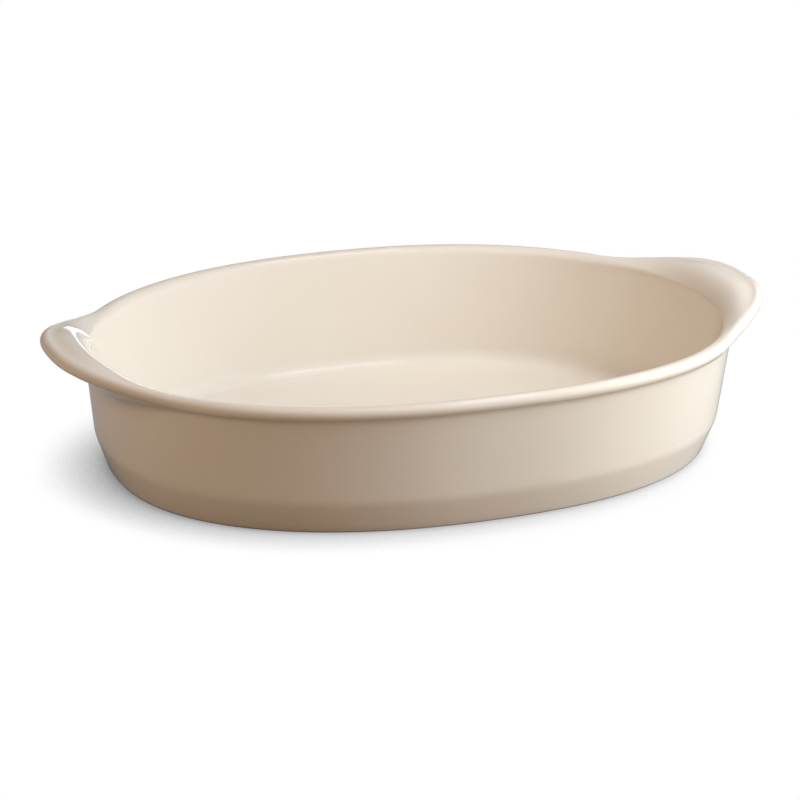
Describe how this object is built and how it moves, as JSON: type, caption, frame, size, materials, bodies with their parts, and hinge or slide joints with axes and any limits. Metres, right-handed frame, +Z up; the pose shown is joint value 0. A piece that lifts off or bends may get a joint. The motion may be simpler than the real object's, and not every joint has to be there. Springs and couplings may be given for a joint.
{
  "type": "oval baking dish",
  "caption": "Glazed stoneware oval baking dish with a rounded rim bead drawn out into lug handles at its ends, sloping walls and a tapered band above a bare foot ring, for baking and serving.",
  "frame": {"origin": "middle of the dish on the plane that its foot ring stands on", "axes": "+X along the length towards a handle, +Y across the width, +Z up out of the dish"},
  "size_m": [0.416, 0.267, 0.0799],
  "materials": {
    "clay": "matte",
    "glaze": "gloss"
  },
  "bodies": {
    "root": {"stoneware_body": "clay", "glaze_coat": "glaze", "base_glaze": "glaze"}
  },
  "joints": []
}
